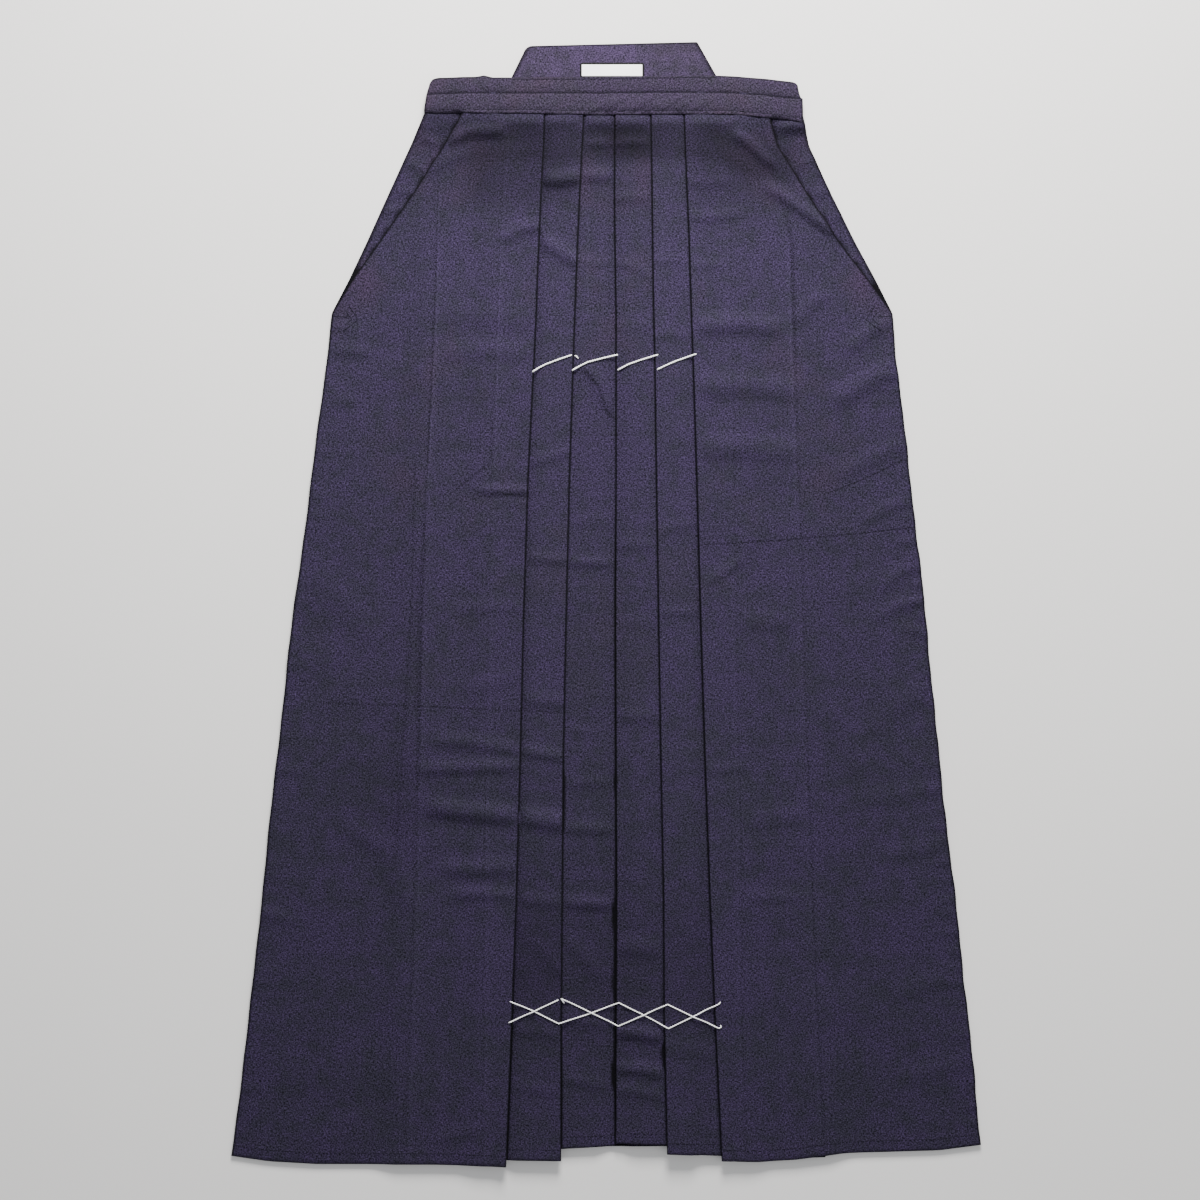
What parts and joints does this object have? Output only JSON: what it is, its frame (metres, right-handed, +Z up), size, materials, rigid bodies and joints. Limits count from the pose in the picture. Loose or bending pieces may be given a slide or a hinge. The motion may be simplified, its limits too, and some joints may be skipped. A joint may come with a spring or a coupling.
{
  "type": "hakama trousers laid flat",
  "caption": "Pleated hakama trousers laid flat, front up, with side slits, a broad waistband and a stiff back board.",
  "frame": {"origin": "middle of the underside, on the surface the trousers lie on", "axes": "+Y along the garment towards the waist, +X towards the wearer's left, +Z up out of the front"},
  "size_m": [0.6794, 1.0189, 0.0153],
  "materials": {
    "hakama_cloth": "matte plain weave",
    "waistband_cloth": "matte plain weave",
    "board_cloth": "matte plain weave",
    "label_cloth": "smooth woven label, blank"
  },
  "bodies": {
    "root": {"front_panel_right": "hakama_cloth", "front_panel_left": "hakama_cloth", "back_panel_right": "hakama_cloth", "back_panel_left": "hakama_cloth", "crotch_gusset": "hakama_cloth", "front_waistband": "waistband_cloth", "front_tie_right": "waistband_cloth", "front_tie_left": "waistband_cloth", "back_tie_right": "waistband_cloth", "back_tie_left": "waistband_cloth", "back_board": "board_cloth", "blank_label": "label_cloth"}
  },
  "joints": []
}
